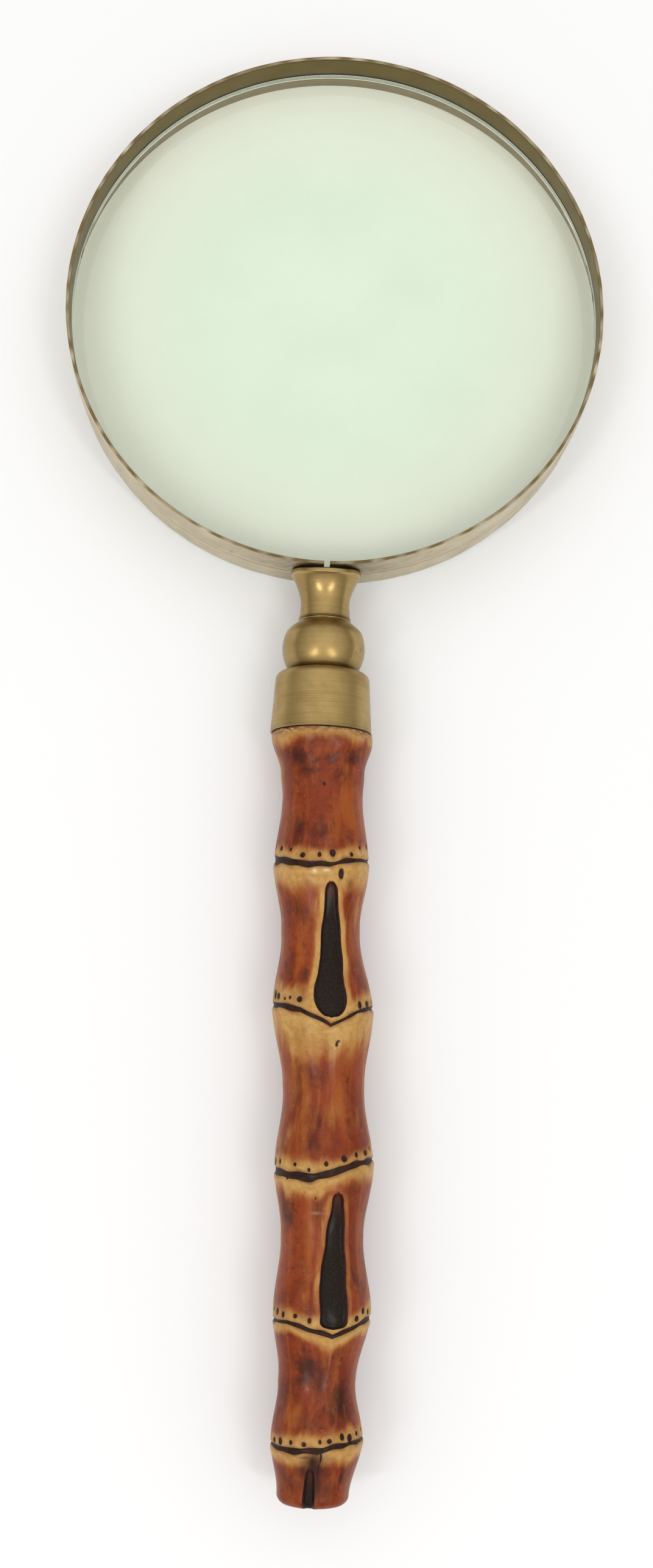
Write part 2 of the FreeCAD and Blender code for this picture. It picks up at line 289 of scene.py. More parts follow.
def cane_material():
    """Lacquered bamboo root: honey at the nodes, scorched red-brown between them."""
    s = Shader("bamboo_root")
    streaks = s.noise(420, (1, 0.1, 1), detail=5, rough=0.6, warp=0.8)
    patches = s.noise(110, (1, 0.55, 1), detail=3, rough=0.55, warp=0.5)
    clouds = s.noise(230, (1, 0.6, 1), detail=4, rough=0.6, warp=0.7)
    mottle = s.noise(900, detail=5, rough=0.62)
    pores = s.noise(4200, (1, 0.35, 1), detail=2, rough=0.5)
    grit = s.noise(3000, detail=3, rough=0.6)

    # The scorched skin between the nodes.
    brown = s.mix(s.ramp(patches, 0.36, 0.64), rgb(142, 60, 22), rgb(116, 42, 16))
    brown = s.patches(brown, rgb(160, 86, 36), streaks, 0.45, 0.72, 0.65)
    brown = s.patches(brown, rgb(86, 31, 17), clouds, 0.52, 0.74, 0.8)
    pink = s.noise(310, (1, 0.8, 1), detail=4, rough=0.65, warp=0.4)
    brown = s.patches(brown, rgb(156, 80, 50), pink, 0.5, 0.72, 0.6)
    brown = s.patches(brown, rgb(80, 29, 20), mottle, 0.48, 0.75, 0.5)
    dust = s.noise(1900, detail=1)
    brown = s.patches(brown, rgb(196, 136, 100), dust, 0.72, 0.78, 0.4)
    amber = s.math("MULTIPLY", s.attribute("amber"), s.ramp(streaks, 0.3, 0.6))
    brown = s.mix(amber, brown, rgb(164, 84, 28))
    uneven = s.sway(s.math("ADD", clouds, mottle), 0.8, middle=1.0)
    scorch = s.math("ADD", s.attribute("bruise"), uneven)
    brown = s.patches(brown, rgb(58, 24, 18), scorch, 0.1, 0.9, 0.85)

    # The pale rings at the nodes, which fade into it unevenly, with a painted sheen down the
    # flanks.
    honey = s.mix(s.ramp(mottle, 0.35, 0.7), rgb(200, 158, 92), rgb(182, 132, 66))
    honey = s.patches(honey, rgb(172, 112, 54), patches, 0.5, 0.75, 0.4)
    glow = s.attribute("honey_and_sheen")
    for value, amount in ((clouds, 1.1), (streaks, 0.8), (mottle, 0.4)):
        glow = s.math("ADD", glow, s.sway(value, amount))
    between = s.mix(s.ramp(glow, 0.1, 0.6), brown, rgb(162, 94, 42))
    tone = s.mix(s.ramp(glow, 0.35, 0.95), between, honey)

    # Marks that lie over both.
    # A pale stripe along the flutes' rims: partly paler skin, partly a painted highlight.
    tone = s.mix(s.math("MULTIPLY", s.attribute("rim"), 0.85), tone, rgb(204, 152, 86))
    stain = s.mix(s.attribute("bruise"), rgb(104, 50, 24), rgb(56, 22, 12))
    tone = s.mix(s.math("MULTIPLY", s.attribute("stain"), 0.85), tone, stain)
    tone = s.patches(tone, rgb(96, 50, 32), pores, 0.66, 0.78, 0.4)
    flakes = s.attribute("flake")
    flakes = s.math("MULTIPLY", flakes, s.ramp(s.noise(1500, (1, 2, 1)), 0.56, 0.64))
    tone = s.mix(s.math("MAXIMUM", flakes, s.attribute("pale")), tone, rgb(232, 210, 172))
    burnt = s.mix(s.ramp(mottle, 0.3, 0.7), rgb(32, 16, 11), rgb(58, 29, 19))
    tone = s.mix(s.ramp(s.attribute("dark"), 0.3, 0.7), tone, burnt)
    bed = s.mix(s.ramp(grit, 0.35, 0.75), rgb(24, 16, 11), rgb(44, 31, 21))
    bed = s.mix(s.ramp(grit, 0.72, 0.82), bed, rgb(104, 88, 68))
    bed = s.mix(s.attribute("flute_red"), bed, rgb(86, 42, 32))
    tone = s.mix(s.ramp(s.attribute("flute_floor"), 0.35, 0.65), tone, bed)
    s.feed("Base Color", tone)

    matt = s.math("MAXIMUM", s.ramp(s.attribute("flute_floor"), 0.3, 0.7),
                  s.math("MULTIPLY", s.attribute("dark"), 0.7))
    s.feed("Roughness", s.spread(matt, 0.0, 1.0, 0.42, 0.85))
    s.set(Coat_Weight=0.18, Coat_Roughness=0.22, Specular_IOR_Level=0.1)
    under = s.bump(streaks, 0.00010, 0.5)
    fine = s.bump(mottle, 0.00004, 0.6, under)
    s.feed("Normal", s.bump(grit, 0.00003, 0.4, fine))
    return s.material


# What the lens leaves of the lamps' light, each time it passes a face.
LENS_SHADE = (0.90, 0.85, 0.90, 1)


def glass_material():
    """Clear lens glass, faintly green, that lets the lamps' light through to the floor."""
    s = Shader("lens_glass_clear")
    s.set(IOR=1.52, Transmission_Weight=1.0)
    smears = s.noise(60, detail=3, rough=0.5)
    dust = s.noise(1500, detail=2, rough=0.5)
    tint = s.mix(s.ramp(smears, 0.4, 0.7), rgb(236, 248, 232), rgb(233, 245, 228))
    # Painted light: the glass is tinted paler towards its rim, to offset the band's shadow on the
    # floor seen through it.
    tint = s.mix(s.attribute("edge"), tint, rgb(246, 251, 237))
    tint = s.patches(tint, rgb(196, 204, 188), dust, 0.76, 0.8, 0.35)
    s.feed("Base Color", tint)
    s.feed("Roughness", s.spread(smears, 0.45, 0.8, 0.0, 0.02))
    clear = s.node("ShaderNodeBsdfTransparent", {"Color": LENS_SHADE})
    lamp_ray = s.node("ShaderNodeLightPath").outputs["Is Shadow Ray"]
    both = s.node("ShaderNodeMixShader",
                  {0: lamp_ray, 1: s.surface.outputs[0], 2: clear.outputs[0]})
    s.link(both.outputs[0], s.tree.nodes["Material Output"].inputs["Surface"])
    return s.material


def ground_edge_material():
    """The lens's ground edge: frosted, with fine grinding lines round it."""
    s = Shader("lens_ground_edge")
    grit = s.noise(2600, (1, 1, 0.3), detail=3, rough=0.6)
    tone = s.mix(s.ramp(grit, 0.3, 0.7), rgb(196, 206, 190), rgb(222, 230, 216))
    s.feed("Base Color", tone)
    s.set(Roughness=0.75)
    s.feed("Normal", s.bump(grit, 0.00002, 0.4))
    return s.material


# ---------------------------------------------------------------- mesh helpers

def line(start, end, steps=1):
    """Points on a straight line, both ends with them."""
    return [tuple(np.array(start) + (np.array(end) - start) * i / steps)
            for i in range(steps + 1)]


def bend(start, pull_1, pull_2, end, steps):
    """Points on a cubic Bezier curve."""
    points = []
    for i in range(steps + 1):
        t = i / steps
        weights = ((1 - t) ** 3, 3 * t * (1 - t) ** 2, 3 * t ** 2 * (1 - t), t ** 3)
        corners = (start, pull_1, pull_2, end)
        points.append(tuple(sum(w * c[k] for w, c in zip(weights, corners)) for k in (0, 1)))
    return points


def arc(centre, radius, first, last, steps):
    """Points on an arc between two angles in degrees, 0 along the first axis."""
    angles = np.radians(np.linspace(first, last, steps + 1))
    return [(centre[0] + radius * math.cos(a), centre[1] + radius * math.sin(a))
            for a in angles]


def joined(*stretches):
    """One run of points, without the doubled ones where stretches meet."""
    points = [stretches[0][0]]
    for stretch in stretches:
        for point in stretch:
            if math.dist(point, points[-1]) > 1e-6:
                points.append(point)
    return np.array(points)


def woven(name, rows, close_rows=False, close_round=True, capped=False, sharp_degrees=40,
          **marks):
    """A smooth mesh through rows of points, an array (row, column, xyz) in millimetres.

    close_round joins the last column to the first, close_rows the last row to the first,
    and capped closes the end rows, or with open columns the first and last column. The
    marks are values on its points, which the materials read by name.
    """
    count, around, _ = rows.shape
    points = rows.reshape(-1, 3) * MM
    index = np.arange(count * around).reshape(count, around)
    if close_round:
        index = np.hstack([index, index[:, :1]])
    if close_rows:
        index = np.vstack([index, index[:1]])
    corners = (index[:-1, :-1], index[:-1, 1:], index[1:, 1:], index[1:, :-1])
    faces = np.stack([c.ravel() for c in corners], axis=1).tolist()
    if capped:
        first = index[0, :around] if close_round else index[:count, 0][::-1]
        last = index[count - 1, :around] if close_round else index[:count, -1][::-1]
        faces += [first[::-1].tolist(), last.tolist()]
    mesh = bpy.data.meshes.new(name)
    mesh.from_pydata(points.tolist(), [], faces)
    mesh.transform(LAID)
    for key, values in marks.items():
        layer = mesh.attributes.new(key, "FLOAT", "POINT")
        values = np.broadcast_to(values, (count, around)).ravel()
        layer.data.foreach_set("value", values.astype(np.float32))
    mesh.validate()
    face_out(mesh)
    mesh.polygons.foreach_set("use_smooth", [True] * len(mesh.polygons))
    mesh.set_sharp_from_angle(angle=math.radians(sharp_degrees))
    return added(name, mesh)


def face_out(mesh):
    """Turn every face of a closed mesh outwards."""
    sheet = bmesh.new()
    sheet.from_mesh(mesh)
    bmesh.ops.recalc_face_normals(sheet, faces=sheet.faces)
    if sheet.calc_volume(signed=True) < 0:
        bmesh.ops.reverse_faces(sheet, faces=sheet.faces)
    sheet.to_mesh(mesh)
    sheet.free()


def angles_round(columns):
    """Evenly spaced angles once round, in radians."""
    return np.linspace(0, TURN, columns, endpoint=False)


def turned_rows(radius, station, angle):
    """Rows round the handle's axis; angle 0 faces front."""
    return np.stack([radius * np.sin(angle), -station + 0 * angle, radius * np.cos(angle)],
                    axis=2)


def hump(value, at, width):
    """1 at one place, dying away softly to both sides of it."""
    return np.exp(-((value - at) / width) ** 2)


def unit(value):
    """value, held between 0 and 1."""
    return np.clip(value, 0, 1)


def smooth(share):
    """0 to 1 with a soft start and a soft end."""
    share = unit(share)
    return share * share * (3 - 2 * share)


def ripple(seed, *scaled):
    """Smooth, repeatable unevenness between about -1 and 1, from sums of sine waves."""
    source = np.random.default_rng(seed)
    total = 0.0
    waves = 7
    for _ in range(waves):
        phase = source.uniform(0, TURN)
        for values in scaled:
            phase = phase + source.uniform(-1, 1) * values
        total = total + np.sin(phase)
    return total / math.sqrt(waves)


def spot(station, angle, radius, at, degrees, long, wide):
    """A soft round mark, 1 in its middle: its place down and round the piece, and half sizes."""
    across = (angle - math.radians(degrees) + math.pi) % TURN - math.pi
    return np.exp(-((station - at) / long) ** 2 - (across * radius / wide) ** 2)


def finish_piece(piece, body, node, slot, *materials):
    """Give a piece its materials, attach it to what it rides on, and hide the CAD part it
    replaces.
    """
    for material in materials:
        piece.data.materials.append(material)
    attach(piece, body)
    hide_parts(node)


# ---------------------------------------------------------------- rim and lens

BAND_OUTER = 52.0
BAND_HALF = 6.95
BAND_SOFT = 0.14
BAND_COLUMNS = 720
STRIP = 0.65
CREASE_RISE = 0.15
CREASE_HALF = 1.5
CREASE_SLOPE = 0.4
CREASE_LINE = 0.02
SPLIT_HALF_GAP = 0.55
LENS_RADIUS = 51.45
LENS_HALF_EDGE = 1.45
LENS_FACE = 290.0
LENS_BEVEL = 0.25
LENS_COLUMNS = 360


def band_section():
    """Outline of the rolled strip, (radius, height), anticlockwise from the back edge."""
    outside, inside = BAND_OUTER, BAND_OUTER - STRIP
    ridge, seat = outside + CREASE_RISE, inside + CREASE_RISE
    pressed = outside + CREASE_LINE
    soft, half, rise = BAND_SOFT, BAND_HALF, CREASE_HALF
    foot = CREASE_HALF + CREASE_SLOPE
    return joined(
        arc((outside - soft, -half + soft), soft, -90, 0, 4),
        line((outside, -half + soft), (outside, -foot - 0.25), 6),
        bend((outside, -foot - 0.25), (outside, -foot + 0.1), (ridge, -rise - 0.1),
             (ridge, -rise + 0.2), 6),
        line((ridge, -rise + 0.2), (ridge, -0.16), 2),
        bend((ridge, -0.16), (ridge, -0.02), (pressed, -0.06), (pressed, 0.02), 4),
        bend((pressed, 0.02), (pressed, 0.1), (ridge, 0.06), (ridge, 0.2), 4),
        line((ridge, 0.2), (ridge, rise - 0.2), 2),
        bend((ridge, rise - 0.2), (ridge, rise + 0.1), (outside, foot - 0.1),
             (outside, foot + 0.25), 6),
        line((outside, foot + 0.25), (outside, half - soft), 6),
        arc((outside - soft, half - soft), soft, 0, 90, 4),
        arc((inside + soft, half - soft), soft, 90, 180, 4),
        line((inside, half - soft), (inside, foot), 6),
        line((inside, foot), (seat, rise)),
        line((seat, rise), (seat, -rise), 3),
        line((seat, -rise), (inside, -foot)),
        line((inside, -foot), (inside, -half + soft), 6),
        arc((inside + soft, -half + soft), soft, 180, 270, 4),
    )[:-1]


def make_band():
    """The rolled strip, with small dents, worn edges, and painted shade at its crease, seat and
    neck.
    """
    section = band_section()
    half_gap = math.asin(SPLIT_HALF_GAP / BAND_OUTER)
    angle = np.linspace(half_gap, TURN - half_gap, BAND_COLUMNS)
    drawn = section[:, 1:]
    radius, height = section[:, :1], drawn
    outer = (radius > BAND_OUTER - STRIP / 2).astype(float)
    edge = unit((np.abs(height) - 5.2) / 1.7)
    dents = ripple(3, 23 * angle, height / 3) * 0.03 + ripple(5, 70 * angle, height) * 0.012
    radius = radius - outer * np.abs(dents) * (0.4 + edge)
    height = height + edge * np.sign(height) * np.minimum(ripple(8, 40 * angle), 0) * 0.05
    rows = np.stack([radius * np.sin(angle), -radius * np.cos(angle), height + 0 * angle],
                    axis=2)
    rows[:, :, 2] = np.clip(rows[:, :, 2], -BAND_HALF, BAND_HALF)

    wear = unit((np.abs(drawn) - (BAND_HALF - 0.2)) / 0.15)
    wear = wear * unit(0.55 + 0.5 * ripple(11, 160 * angle, 4 * radius))
    # Painted shade: the outer crease, and the inner seat where the lens meets the band, are
    # darkened.
    crease = hump(drawn, 0, 0.12) * outer
    foot = CREASE_HALF + CREASE_SLOPE
    inner_seat = unit(1 - np.abs(np.abs(drawn) - foot + 0.3) / 0.7) * (1 - outer)
    # Painted shade on the outside beside the neck's flange, stronger towards the front.
    by_neck = 0.42 * hump(np.minimum(angle, TURN - angle), 0, 0.26)
    shade_by_neck = by_neck * np.clip(0.4 + height / 3, 0.15, 1) * outer
    shade_by_neck = shade_by_neck * np.clip(1 + 0.4 * ripple(13, 200 * angle, 3 * height), 0.3, 1.4)
    grime = unit(crease * 0.45 + inner_seat * 0.8 + shade_by_neck)
    front = unit((np.abs(drawn) - (BAND_HALF - 0.1)) / 0.08)
    edge_tone = front * unit(0.8 + 0.3 * ripple(12, 90 * angle))
    piece = woven("rim_band_rolled", rows, close_rows=True, close_round=False, capped=True,
                  sharp_degrees=50, wear=0.6 * wear, grime=grime,
                  inside=(1 - outer) * (1 - front), edge=edge_tone)
    finish_piece(piece, "head", "rim_band", "brass",
                 brass("band_brass", rgb(208, 196, 168), rgb(228, 216, 188),
                       rgb(182, 168, 138), "Z", roughness=0.38))


def make_lens():
    """The biconvex glass, with a small bevel and a ground edge."""
    rim = LENS_RADIUS - LENS_BEVEL
    rise = math.sqrt(LENS_FACE ** 2 - LENS_RADIUS ** 2) - LENS_HALF_EDGE
    reach = np.sin(np.linspace(0.012, 1, 60) * math.asin(rim / LENS_FACE)) * LENS_FACE
    dome = [(r, math.sqrt(LENS_FACE ** 2 - r ** 2) - rise) for r in reach]
    front = dome + [(LENS_RADIUS, dome[-1][1] - LENS_BEVEL)]
    section = np.array(front + [(r, -height) for r, height in reversed(front)])
    angle = angles_round(LENS_COLUMNS)
    radius, height = section[:, :1], section[:, 1:]
    rows = np.stack([radius * np.sin(angle), radius * np.cos(angle), height + 0 * angle],
                    axis=2)
    # Where the paler rim tint of the glass applies; it is painted light.
    near_edge = unit((radius - 24) / 22) ** 1.5
    piece = woven("lens_glass", rows, capped=True, sharp_degrees=30, edge=near_edge)
    finish_piece(piece, "head", "lens", "glass", glass_material(), ground_edge_material())
    to_lens = LAID.inverted()
    for face in piece.data.polygons:
        middle = to_lens @ face.center
        if math.hypot(middle.x, middle.y) > (LENS_RADIUS - 0.02) * MM:
            face.material_index = 1


# ---------------------------------------------------------------- neck, knop and ferrule

AXIS_HOLE = 0.05  # how near the axis the end rows stop
SADDLE = 26.0
SADDLE_STATION = 52.6
FLANGE_RADIUS = 6.7
FLANGE_THICK = 0.8
NECK_COLUMNS = 160
WAIST = (4.65, 58.2)
NECK_FOOT = (5.0, 61.45)
CLAMP_GAP = 0.02
BALL_TOP = (5.0, NECK_FOOT[1] + CLAMP_GAP)
BALL_SHOULDER = 64.05
BALL_RADIUS = 7.85
BALL_STATION = 66.9
BALL_FOOT = 71.5
BALL_BEAD = 0.09
BALL_COLUMNS = 220
SPOT_RADIUS = 8.0
# Dark specks on the ball: (station, angle, half length, half width).
BALL_SPOTS = ((67.6, 62, 0.5, 0.35), (66.9, 69, 0.6, 0.4), (68.3, 52, 0.25, 0.2))
HOLE_RADIUS = 3.1
FERRULE_CORNER = (6.4, 71.52)
FERRULE_SIDE = (8.96, 73.4)
FERRULE_FOOT = (9.6, 83.4)
FERRULE_BORE = 8.1
FERRULE_ROOF = 1.5
FERRULE_COLUMNS = 240
SIDE_STEP = 0.06
# Lines left by the turning tool: (station, depth).
TOOL_LINES = ((74.8, 0.02), (76.8, 0.03), (77.8, 0.02), (78.2, 0.025), (78.7, 0.03),
              (80.9, 0.015))


def make_neck():
    """A trumpet whose flange follows the curve of the band."""
    edge = 0.12
    brim = FLANGE_RADIUS - edge
    under = SADDLE_STATION + FLANGE_THICK
    foot_radius, foot = NECK_FOOT
    profile = joined(
        line((AXIS_HOLE, SADDLE_STATION), (brim, SADDLE_STATION), 14),
        arc((brim, SADDLE_STATION + edge), edge, -90, 0, 3),
        line((FLANGE_RADIUS, SADDLE_STATION + edge), (FLANGE_RADIUS, under - edge), 3),
        arc((brim, under - edge), edge, 0, 90, 3),
        bend((brim, under), (6.2, under + 0.05), (5.25, 54.9), (4.85, 56.6), 18),
        bend((4.85, 56.6), (4.72, 57.2), (4.65, 57.7), WAIST, 6),
        bend(WAIST, (4.65, 59.5), (4.82, 60.7), (foot_radius, foot - edge), 10),
        line((foot_radius, foot - edge), (foot_radius - edge, foot)),
        line((foot_radius - edge, foot), (AXIS_HOLE, foot), 4),
    )
    radius, station = profile[:, :1], profile[:, 1:]
    rows = turned_rows(radius, station, angles_round(NECK_COLUMNS))
    sag = SADDLE - np.sqrt(SADDLE ** 2 - rows[:, :, 0] ** 2)
    rows[:, :, 1] += sag * unit(1 - (station - under) / 2.2) ** 2
    lip = hump(station, under, 0.12) * (radius > 6.2)
    top_lip = hump(station, SADDLE_STATION + 0.06, 0.1) * (radius > 6.4)
    wear = unit(0.35 * lip + 0.3 * top_lip)
    # Painted shade: a dark band just above the foot, where the neck meets the ball.
    grime = 0.8 * hump(station, foot - 0.25, 0.22)
    piece = woven("neck_trumpet", rows, capped=True, wear=wear, grime=grime)
    finish_piece(piece, "head", "neck_collar", "brass", TURNED_BRASS)


def make_ball():
    """The knop: a ball with two flats, and a fine bead round its neck."""
    top_radius, top = BALL_TOP
    bead = BALL_BEAD
    meet = math.asin((BALL_STATION - BALL_SHOULDER) / BALL_RADIUS)
    foot = math.asin((BALL_FOOT - BALL_STATION) / BALL_RADIUS)
    join = (BALL_RADIUS * math.cos(meet), BALL_SHOULDER)
    neck, collar = (top_radius - 0.02, top + 2.4 * bead), (top_radius + 0.08, top + 0.34)
    profile = joined(
        line((HOLE_RADIUS, top), (top_radius - bead, top), 3),
        arc((top_radius - bead + 0.02, top + bead), bead, -90, 60, 6),
        bend((top_radius + 0.02, top + 2 * bead), neck, neck, collar, 4),
        bend(collar, (5.3, 62.0), (6.92, 63.05), join, 14),
        arc((0, BALL_STATION), BALL_RADIUS, -math.degrees(meet), math.degrees(foot), 60),
        line((BALL_RADIUS * math.cos(foot), BALL_FOOT), (HOLE_RADIUS, BALL_FOOT), 3),
        line((HOLE_RADIUS, BALL_FOOT), (HOLE_RADIUS, top), 6),
    )[:-1]
    angle = angles_round(BALL_COLUMNS)
    radius, station = profile[:, :1], profile[:, 1:]
    outer = radius > 4.5
    # Painted highlight: a pale line along the bead.
    bead_highlight = 0.6 * hump(station, top + bead, 0.08)
    line_below = 0.35 * hump(station, 62.35, 0.12)
    # Painted shade in the hollow under the bead and towards the foot by the ferrule; the dark
    # specks are real.
    hollow = 0.45 * hump(station, top + 0.3, 0.12)
    foot_shade = 0.75 * unit((station - 69.6) / 1.6) ** 1.3
    spots = sum(spot(station, angle, SPOT_RADIUS, *mark) for mark in BALL_SPOTS)
    grime = unit(hollow + foot_shade + 0.45 * spots) * outer
    piece = woven("ball_turned", turned_rows(radius, station, angle), close_rows=True,
                  wear=(bead_highlight + line_below) * outer, grime=grime)
    finish_piece(piece, "knop", "ball_knop", "brass", TURNED_BRASS)


def make_ferrule():
    """A turned cup that widens towards the handle, with the tool's lines round it."""
    top = BALL_FOOT + CLAMP_GAP
    roof = top + FERRULE_ROOF
    foot_radius, foot = FERRULE_FOOT
    start, end = FERRULE_SIDE, (foot_radius - 0.02, foot - 0.1)
    side = []
    for station in np.arange(start[1] + SIDE_STEP, end[1], SIDE_STEP):
        share = (station - start[1]) / (end[1] - start[1])
        radius = start[0] + (end[0] - start[0]) * share
        for place, depth in TOOL_LINES:
            radius -= depth * hump(station, place, 0.07)
        side.append((radius, station))
    profile = joined(
        line((HOLE_RADIUS, top), FERRULE_CORNER, 4),
        bend(FERRULE_CORNER, (8.3, top + 0.03), (8.93, 72.2), start, 18),
        [start] + side + [end],
        line(end, (foot_radius - 0.12, foot)),
        line((foot_radius - 0.12, foot), (FERRULE_BORE, foot), 2),
        line((FERRULE_BORE, foot), (FERRULE_BORE, roof), 6),
        line((FERRULE_BORE, roof), (HOLE_RADIUS, roof), 3),
        line((HOLE_RADIUS, roof), (HOLE_RADIUS, top), 2),
    )[:-1]
    angle = angles_round(FERRULE_COLUMNS)
    radius, station = profile[:, :1], profile[:, 1:]
    outer = radius > 8.6
    worn_lines = sum(hump(station, place + 0.06, 0.05) for place, _ in TOOL_LINES) * outer
    broken = unit(0.5 + 0.6 * ripple(21, 5 * angle, 3 * station))
    shoulder = hump(station, top + 0.1, 0.12) * (radius > 6.2)
    rim = hump(station, foot, 0.1) * outer
    wear = unit(0.35 * rim + 0.35 * worn_lines * broken + 0.3 * shoulder)
    nick = spot(station, angle, 8.0, 71.7, 13, 0.16, 0.12)
    rub = 0.25 * spot(station, angle, 9.2, 78.0, -64, 1.0, 0.3)
    base = 0.2 * hump(station, foot - 0.4, 0.5) * outer
    piece = woven("ferrule_turned", turned_rows(radius, station, angle), close_rows=True,
                  wear=wear, grime=unit(base + nick + rub))
    finish_piece(piece, "handle", "ferrule", "brass", FERRULE_BRASS)


STUD_RADIUS = 3.0
STUD_TOP = 54.1
STUD_END = 81.4
STUD_COLUMNS = 48
THREAD_PITCH = 1.0
THREAD_DEPTH = 0.6
ROWS_PER_TURN = 12


def make_stud():
    """The stud with its real thread, one turn of helix per pitch."""
    angle = angles_round(STUD_COLUMNS)
    step = THREAD_PITCH / ROWS_PER_TURN
    station = np.arange(STUD_TOP, STUD_END + 0.001, step)[:, None]
    phase = (station / THREAD_PITCH + angle / TURN) % 1.0
    groove = unit(np.abs(phase - 0.5) * 2.6 - 0.25)
    taper = unit(np.minimum(station - STUD_TOP, STUD_END - station) / 0.6)
    radius = STUD_RADIUS - THREAD_DEPTH * np.maximum(groove, 1 - taper)
    # Painted shade darkens the thread's roots; its crests take the pale wear colour.
    piece = woven("stud_thread", turned_rows(radius, station, angle), capped=True,
                  sharp_degrees=60, wear=1 - groove, grime=groove * 0.6)
    finish_piece(piece, "head", "handle_stud", "brass", TURNED_BRASS)


# ---------------------------------------------------------------- bamboo root cane

# Turning points of the cane's outline: (station, radius).
CANE_SWELL = (
    (83.42, 9.4), (84.4, 9.46), (90.9, 7.85), (95.5, 7.56), (108.6, 8.95), (119.8, 7.27),
    (122, 7.25), (135.3, 9.22), (148.6, 7.5), (150.4, 7.47), (163.6, 9.1), (175.4, 7.5),
    (177, 7.49), (188.9, 8.78), (200.2, 6.98), (201.8, 6.96), (210.9, 8.23), (220.4, 6.4),
)
# How far the bent cane stands off the ferrule's axis: (station, offset to the right).
CANE_BEND = (
    (83.42, 0.15), (86, 0.4), (95, 0.7), (108.4, 0.95), (121.5, 1.25), (136, 2.05), (150, 2.6),
    (163.4, 3.2), (176.5, 3.3), (188.6, 3.7), (201.3, 3.1), (210.8, 3.4), (222.3, 2.9),
)
CANE_TOP = 83.42
CANE_END = 221.8
CANE_COLUMNS = 320
TIP_ROUND = 1.7
TIP_STEPS = 12
TIP_FALL = 0.93  # share of TIP_ROUND that the rounded corner takes; the end bulges by the rest
TENON_RADIUS = 8.05
TENON_TOP = 73.07
INSERT_HOLE = 4.62
INSERT_DEPTH = 11.3
GROOVE_DEPTH = 0.26
SCAR_DEPTH = 0.22
SPOT_DEPTH = 0.18
FLUTE_DEPTH = 0.75
LIP_RISE = 0.10

# Each node's groove. lean tips it across, dip draws it down at one angle: fall is how much of
# the dip is left (angle off, share), half is the groove's half width (angle, mm). honey is how
# far the pale ring reaches above and below it. dots are the root scars above it (angle, rise).
ROUND_DIP = ((0, 1), (12, 0.94), (25, 0.72), (40, 0.43), (60, 0.15), (90, 0))
NODES = (
    dict(station=107.6, lean=-0.2, dip=1.7, dip_angle=-5, fall=ROUND_DIP, honey=(2.6, 4.6),
         half=((-80, 0.8), (-40, 0.72), (0, 0.48), (60, 0.38), (90, 0.42)),
         dots=((-82, 2.3), (-60, 2.2), (-42, 2.2), (-25, 1.5), (-4, 1.9), (12, 2.1), (37, 1.1),
               (52, 2.3), (74, 2.6))),
    dict(station=134.7, lean=0.0, dip=3.6, dip_angle=8, honey=(3.4, 7),
         fall=((0, 1), (4, 0.9), (35, 0.26), (70, 0)),
         half=((-90, 0.5), (-40, 0.55), (0, 0.4), (9, 0.28), (30, 0.3), (60, 0.38)),
         dots=((-74, 1.7), (-63, 1.6), (-50, 1.4), (-42, 1.8), (-29, 1.8), (47, 1.1), (61, 1),
               (76, 1.2))),
    dict(station=163.0, lean=-1.1, dip=1.9, dip_angle=-15, fall=ROUND_DIP, honey=(3, 3.2),
         half=((-90, 0.7), (0, 0.75), (50, 0.6), (90, 0.3)),
         dots=((-80, 1.5), (-63, 1.9), (-37, 2.1), (-19, 1.3), (1, 1.9), (22, 1.8), (39, 1.7),
               (56, 1.5), (68, 2.1))),
    dict(station=190.2, lean=-0.4, dip=2.3, dip_angle=13, honey=(2.8, 2.2),
         fall=((0, 1), (4, 0.9), (40, 0.2), (60, 0)),
         half=((-90, 0.34), (-40, 0.4), (0, 0.48), (30, 0.52), (60, 0.52), (90, 0.46)),
         dots=((-83, 2), (-67, 1.8), (-54, 1.3), (-35, 1.5), (-16, 1.5), (44, 1.4), (56, 2),
               (68, 1.4))),
    dict(station=211.0, lean=-0.6, dip=0.7, dip_angle=-20, fall=ROUND_DIP, honey=(2.4, 2.4),
         half=((-90, 0.3), (-30, 0.52), (0, 0.56), (40, 0.42), (90, 0.3)),
         dots=((-82, 1.2), (-67, 1), (-53, 1.1), (-35, 1.4), (-17, 1.2), (3, 1.4), (15, 1.2),
               (33, 1.4), (45, 1), (60, 1.3), (75, 1.6))),
)
BACK_DOTS = tuple((angle, 1.7 + 0.4 * math.sin(angle)) for angle in range(102, 262, 17))
# The long hollows, on alternate sides of the cane: half width (station, mm), middle (station,
# angle), how long the rounded ends are, and how pale the cane is beside them.
FLUTES = (
    dict(half=((112.3, 0.9), (114.6, 1.1), (119, 1.5), (126, 2.05), (129, 2.25), (130.5, 2.5),
               (131.8, 2.82), (133, 3), (136.8, 3)), ends=(1.6, 3.4), pale=0.85,
         middle=((112, 11), (119, 14), (126, 13), (131, 8), (137, 9))),
    dict(half=((167.8, 0.8), (169.6, 0.95), (173.4, 1.5), (178.7, 1.95), (185, 2.5),
               (191.1, 2.5)), ends=(1.4, 1.2), pale=0.4,
         middle=((167, 16), (171, 17.5), (178, 16), (184, 12), (191, 13.5))),
    dict(half=((214.9, 0.6), (216.2, 0.75), (220, 0.95), (228, 1.05)), ends=(1, 0.1), pale=0.0,
         middle=((215, -7.5), (222, -8))),
    dict(half=((88.6, 0.9), (96, 1.5), (105, 2.3), (108.8, 2.3)), ends=(1.6, 2.4), pale=0.6,
         middle=((88, 186), (109, 180))),
    dict(half=((141.5, 0.9), (150, 1.7), (161, 2.6), (165.4, 2.6)), ends=(1.6, 2.6), pale=0.5,
         middle=((141, 184), (166, 190))),
    dict(half=((194.6, 0.8), (202, 1.5), (210, 2.2), (212.6, 2.2)), ends=(1.6, 2.2), pale=0.5,
         middle=((194, 188), (213, 184))),
)

